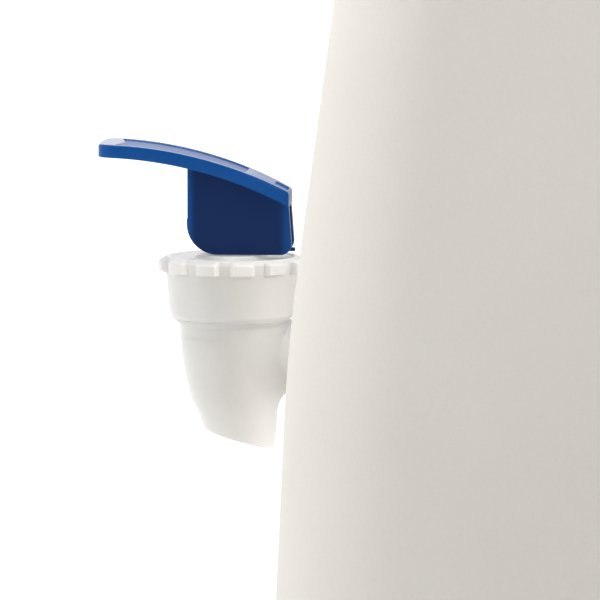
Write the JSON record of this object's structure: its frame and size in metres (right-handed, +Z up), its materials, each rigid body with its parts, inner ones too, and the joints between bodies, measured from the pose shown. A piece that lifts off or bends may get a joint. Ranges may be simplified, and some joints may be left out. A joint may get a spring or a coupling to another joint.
{
  "type": "countertop liquid dispenser",
  "caption": "Tapered countertop bulk liquid dispenser with an inner bottle, a lift-off vented lid and a push-lever tap on its front.",
  "frame": {"origin": "on the standing surface, midway between the lever's tip and the rear of the housing", "axes": "+Z up; the tap points along -Y; +X to the right when seen from the front; the plane X = 0 is the plane of symmetry"},
  "size_m": [0.2376, 0.289, 0.369],
  "materials": {
    "housing_plastic": "warm off-white, very fine moulded grain",
    "bottle_plastic": "natural translucent moulding",
    "base_plastic": "matt off-white",
    "foot_rubber": "matt black",
    "screw_steel": "plated steel",
    "spring_steel": "drawn stainless wire",
    "silicone": "satin translucent silicone",
    "tap_plastic": "smooth satin white, slightly translucent",
    "lever_plastic": "glossy blue"
  },
  "bodies": {
    "dispenser": {"housing": "housing_plastic", "reservoir": "bottle_plastic", "base_plate": "base_plastic", "neck_collar": "housing_plastic", "tap_body": "tap_plastic", "bonnet_nut": "tap_plastic", "stem_guide": "tap_plastic", "seat_cup": "silicone", "stem_spring": "spring_steel", "outer_gasket": "silicone", "inner_gasket": "silicone", "lock_nut": "tap_plastic", "foot_front_left": "foot_rubber", "base_screw_front_left": "screw_steel", "foot_front_right": "foot_rubber", "base_screw_front_right": "screw_steel", "foot_rear_left": "foot_rubber", "base_screw_rear_left": "screw_steel", "foot_rear_right": "foot_rubber", "base_screw_rear_right": "screw_steel"},
    "lid": {"lid": "housing_plastic", "lid_gasket": "silicone", "lid_knob": "housing_plastic", "knob_screw": "screw_steel"},
    "vent": {"vent_plug": "tap_plastic"},
    "stem": {"valve_stem": "tap_plastic"},
    "lever": {"lever": "lever_plastic", "lever_pin": "tap_plastic"}
  },
  "joints": [
    {"name": "stem_lift", "type": "slide", "parent": "dispenser", "child": "stem", "axis": [0, 0, 1], "range_m": [0, 0.00218], "deforming": ["stem_spring", "seat_cup"]},
    {"name": "lever_press", "type": "hinge", "parent": "stem", "child": "lever", "pos_m": [0, -0.10773, 0.1622], "axis": [1, 0, 0], "range_deg": [0, 25], "stiffness_Nm_per_rad": 0.03, "springref_deg": -57.3},
    {"name": "lid_lift", "type": "slide", "parent": "dispenser", "child": "lid", "axis": [0, 0, 1], "range_m": [0, 0.08]},
    {"name": "vent_pull", "type": "slide", "parent": "lid", "child": "vent", "axis": [0, 0, 1], "range_m": [0, 0.004]}
  ],
  "couplings": [
    {"joint": "lever_press", "follows": "stem_lift", "rad_per_m": 200}
  ]
}
